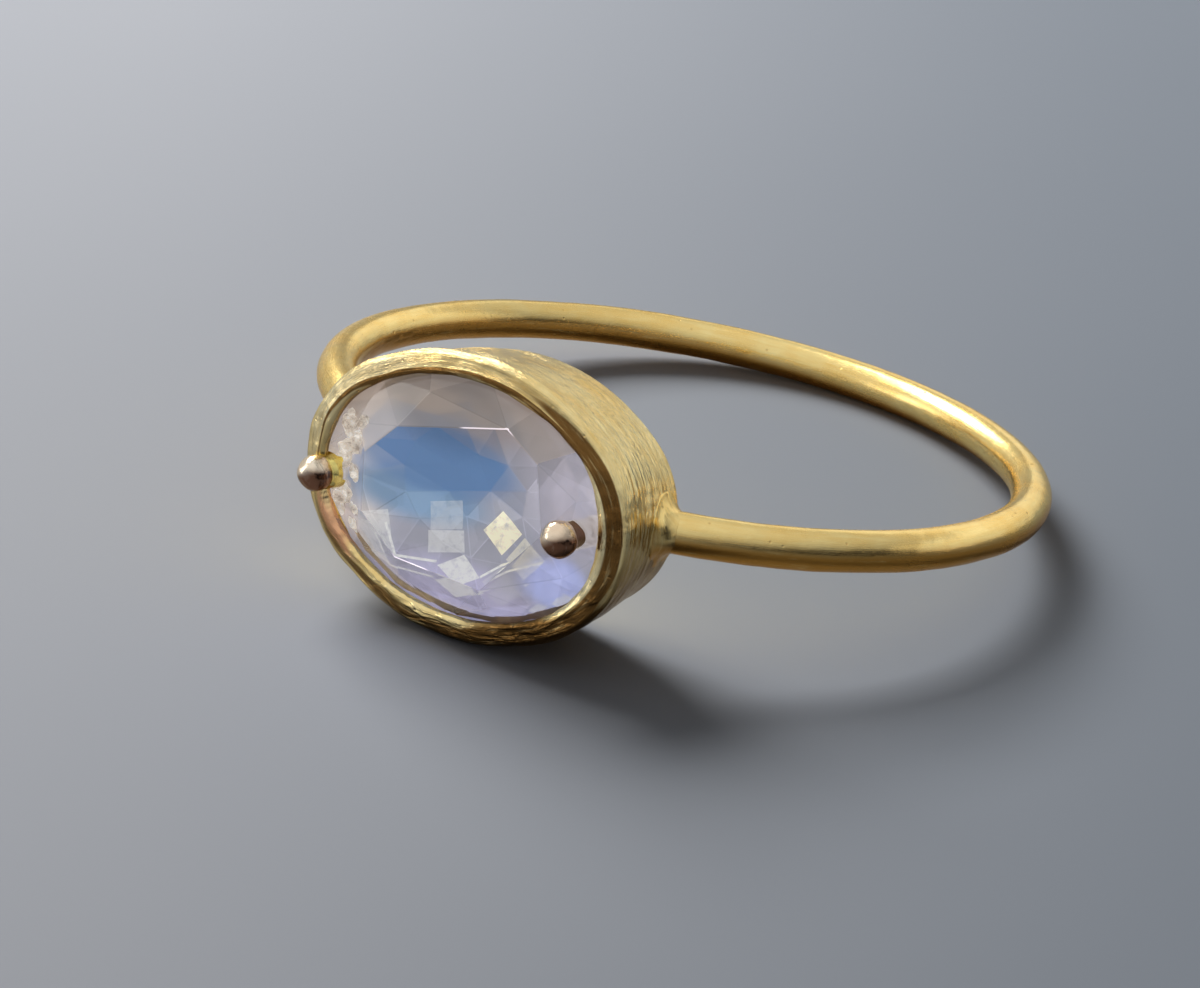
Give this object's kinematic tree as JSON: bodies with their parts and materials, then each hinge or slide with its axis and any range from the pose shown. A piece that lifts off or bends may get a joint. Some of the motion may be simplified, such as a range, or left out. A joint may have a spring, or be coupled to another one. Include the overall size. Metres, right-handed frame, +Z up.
{
  "type": "moonstone ring",
  "caption": "Thin round-wire gold ring with an oval cup setting, a rolled rim, two ball-tipped posts and a faceted oval moonstone, lying on its side.",
  "frame": {"origin": "centre of the bottom of the box around the ring as it lies on its side, on the floor", "axes": "+Z up; the stone faces -Y, tipped up by 9.4 degrees; the far side of the band is at +Y; +X is to the right for someone who looks at the stone"},
  "size_m": [0.019, 0.0206, 0.007],
  "materials": {
    "gold": "satin yellow gold, lightly brushed, with small tool marks on the rim",
    "moonstone": "polished, milky, with a blue sheen under the table"
  },
  "bodies": {
    "root": {"band_and_setting": "gold", "moonstone": "moonstone"}
  },
  "joints": []
}
